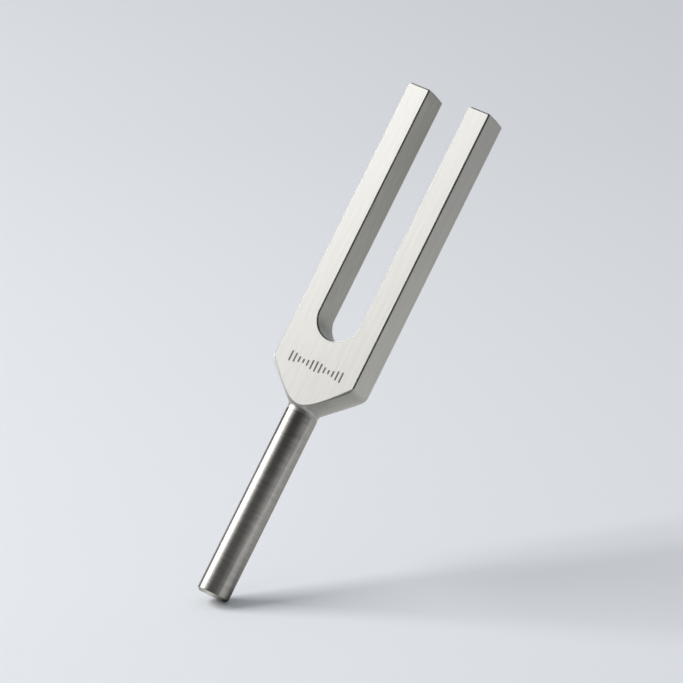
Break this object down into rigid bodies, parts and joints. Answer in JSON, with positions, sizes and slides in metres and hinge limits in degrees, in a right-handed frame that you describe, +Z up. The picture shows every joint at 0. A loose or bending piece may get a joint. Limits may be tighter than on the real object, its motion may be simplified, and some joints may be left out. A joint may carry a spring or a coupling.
{
  "type": "tuning fork",
  "caption": "Brushed steel tuning fork: a slotted flat-bar head with sprung tines, turned to a cone and a collar at its lower end, on a plain round stem.",
  "frame": {"origin": "centre of the stem's foot, in the plane that the foot stands on", "axes": "+Z up the stem and the tines, +X across the two tines, -Y out of the marked front face"},
  "size_m": [0.034, 0.0126, 0.1895],
  "materials": {
    "head_steel": "lengthwise brushed satin",
    "stem_steel": "fine turned, near polished",
    "stud_steel": "black oxide",
    "mark_fill": "dark etched line"
  },
  "bodies": {
    "yoke_and_stem": {"yoke": "head_steel", "stem": "stem_steel", "stem_stud": "stud_steel"},
    "tine_left": {"tine_left": "head_steel"},
    "tine_right": {"tine_right": "head_steel"}
  },
  "joints": [
    {"name": "tine_left_flex", "type": "hinge", "parent": "yoke_and_stem", "child": "tine_left", "pos_m": [-0.01263, 0, 0.12494], "axis": [0, -1, 0], "range_deg": [-0.8, 0.8], "stiffness_Nm_per_rad": 51.5},
    {"name": "tine_right_flex", "type": "hinge", "parent": "yoke_and_stem", "child": "tine_right", "pos_m": [0.01263, 0, 0.12494], "axis": [0, 1, 0], "range_deg": [-0.8, 0.8], "stiffness_Nm_per_rad": 51.5}
  ],
  "couplings": [
    {"joint": "tine_right_flex", "follows": "tine_left_flex", "ratio": 1}
  ]
}
